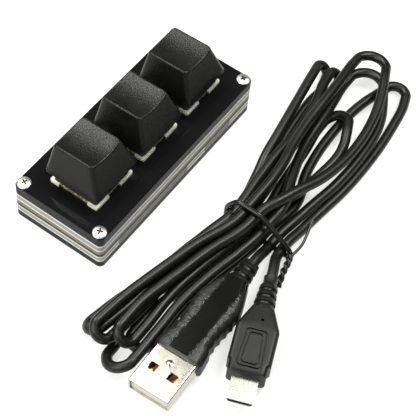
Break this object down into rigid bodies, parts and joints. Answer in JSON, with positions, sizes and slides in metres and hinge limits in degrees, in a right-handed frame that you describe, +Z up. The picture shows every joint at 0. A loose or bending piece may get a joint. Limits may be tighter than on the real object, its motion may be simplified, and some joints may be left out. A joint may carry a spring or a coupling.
{
  "type": "macro keypad",
  "caption": "Small bar-shaped macro keypad: sprung key switches with sculpted caps in a screwed stack of black and clear plates, with its loose tied data cable.",
  "frame": {"origin": "middle of the underside of the case", "axes": "+X along the row of keys, +Z up, -Y towards the user's side and the loose cable"},
  "size_m": [0.1306, 0.0842, 0.0274],
  "materials": {
    "black_acrylic": "polished acrylic sheet",
    "clear_acrylic": "clear acrylic sheet with laser cut edges",
    "board_edge": "fibreglass board, tan at its edge",
    "nickel": "nickel plated",
    "plug_nickel": "nickel plated sheet",
    "cap_black": "fine textured",
    "housing_black": "satin",
    "housing_cream": "satin",
    "stem_brown": "satin",
    "spring_steel": "bright wire",
    "contact_gold": "gold plated",
    "insulator_black": "moulded",
    "capacitor_tan": "ceramic",
    "cable_black": "soft black moulding and jacket"
  },
  "bodies": {
    "case": {"top_plate": "black_acrylic", "upper_spacer": "clear_acrylic", "circuit_board": "board_edge", "lower_spacer": "clear_acrylic", "bottom_plate": "black_acrylic", "case_screws": "nickel", "case_nuts": "nickel", "switch_top_housing_1": "housing_black", "switch_base_housing_1": "housing_cream", "switch_spring_1": "spring_steel", "switch_fixed_contact_1": "contact_gold", "switch_moving_contact_1": "contact_gold", "switch_top_housing_2": "housing_black", "switch_base_housing_2": "housing_cream", "switch_spring_2": "spring_steel", "switch_fixed_contact_2": "contact_gold", "switch_moving_contact_2": "contact_gold", "switch_top_housing_3": "housing_black", "switch_base_housing_3": "housing_cream", "switch_spring_3": "spring_steel", "switch_fixed_contact_3": "contact_gold", "switch_moving_contact_3": "contact_gold", "usb_socket_shell": "nickel", "usb_socket_tongue": "insulator_black", "usb_socket_contacts": "contact_gold", "controller_chip": "insulator_black", "controller_leads": "nickel", "board_resistors": "insulator_black", "board_capacitors": "capacitor_tan", "cable_hank": "cable_black", "usb_a_lead": "cable_black", "micro_b_lead": "cable_black", "usb_a_overmould": "cable_black", "usb_a_strain_relief": "cable_black", "micro_b_overmould": "cable_black", "micro_b_strain_relief": "cable_black", "cable_tie": "cable_black", "usb_a_shell": "plug_nickel", "micro_b_shell": "plug_nickel", "usb_a_insulator": "insulator_black", "micro_b_insulator": "insulator_black", "usb_a_contacts": "contact_gold", "micro_b_contacts": "contact_gold"},
    "key_1": {"keycap_1": "cap_black", "switch_stem_1": "stem_brown"},
    "key_2": {"keycap_2": "cap_black", "switch_stem_2": "stem_brown"},
    "key_3": {"keycap_3": "cap_black", "switch_stem_3": "stem_brown"}
  },
  "joints": [
    {"name": "key_1_press", "type": "slide", "parent": "case", "child": "key_1", "axis": [0, 0, -1], "range_m": [0, 0.004], "stiffness_N_per_m": 75, "springref_m": -0.006, "deforming": ["switch_spring_1"]},
    {"name": "key_2_press", "type": "slide", "parent": "case", "child": "key_2", "axis": [0, 0, -1], "range_m": [0, 0.004], "stiffness_N_per_m": 75, "springref_m": -0.006, "deforming": ["switch_spring_2"]},
    {"name": "key_3_press", "type": "slide", "parent": "case", "child": "key_3", "axis": [0, 0, -1], "range_m": [0, 0.004], "stiffness_N_per_m": 75, "springref_m": -0.006, "deforming": ["switch_spring_3"]}
  ]
}
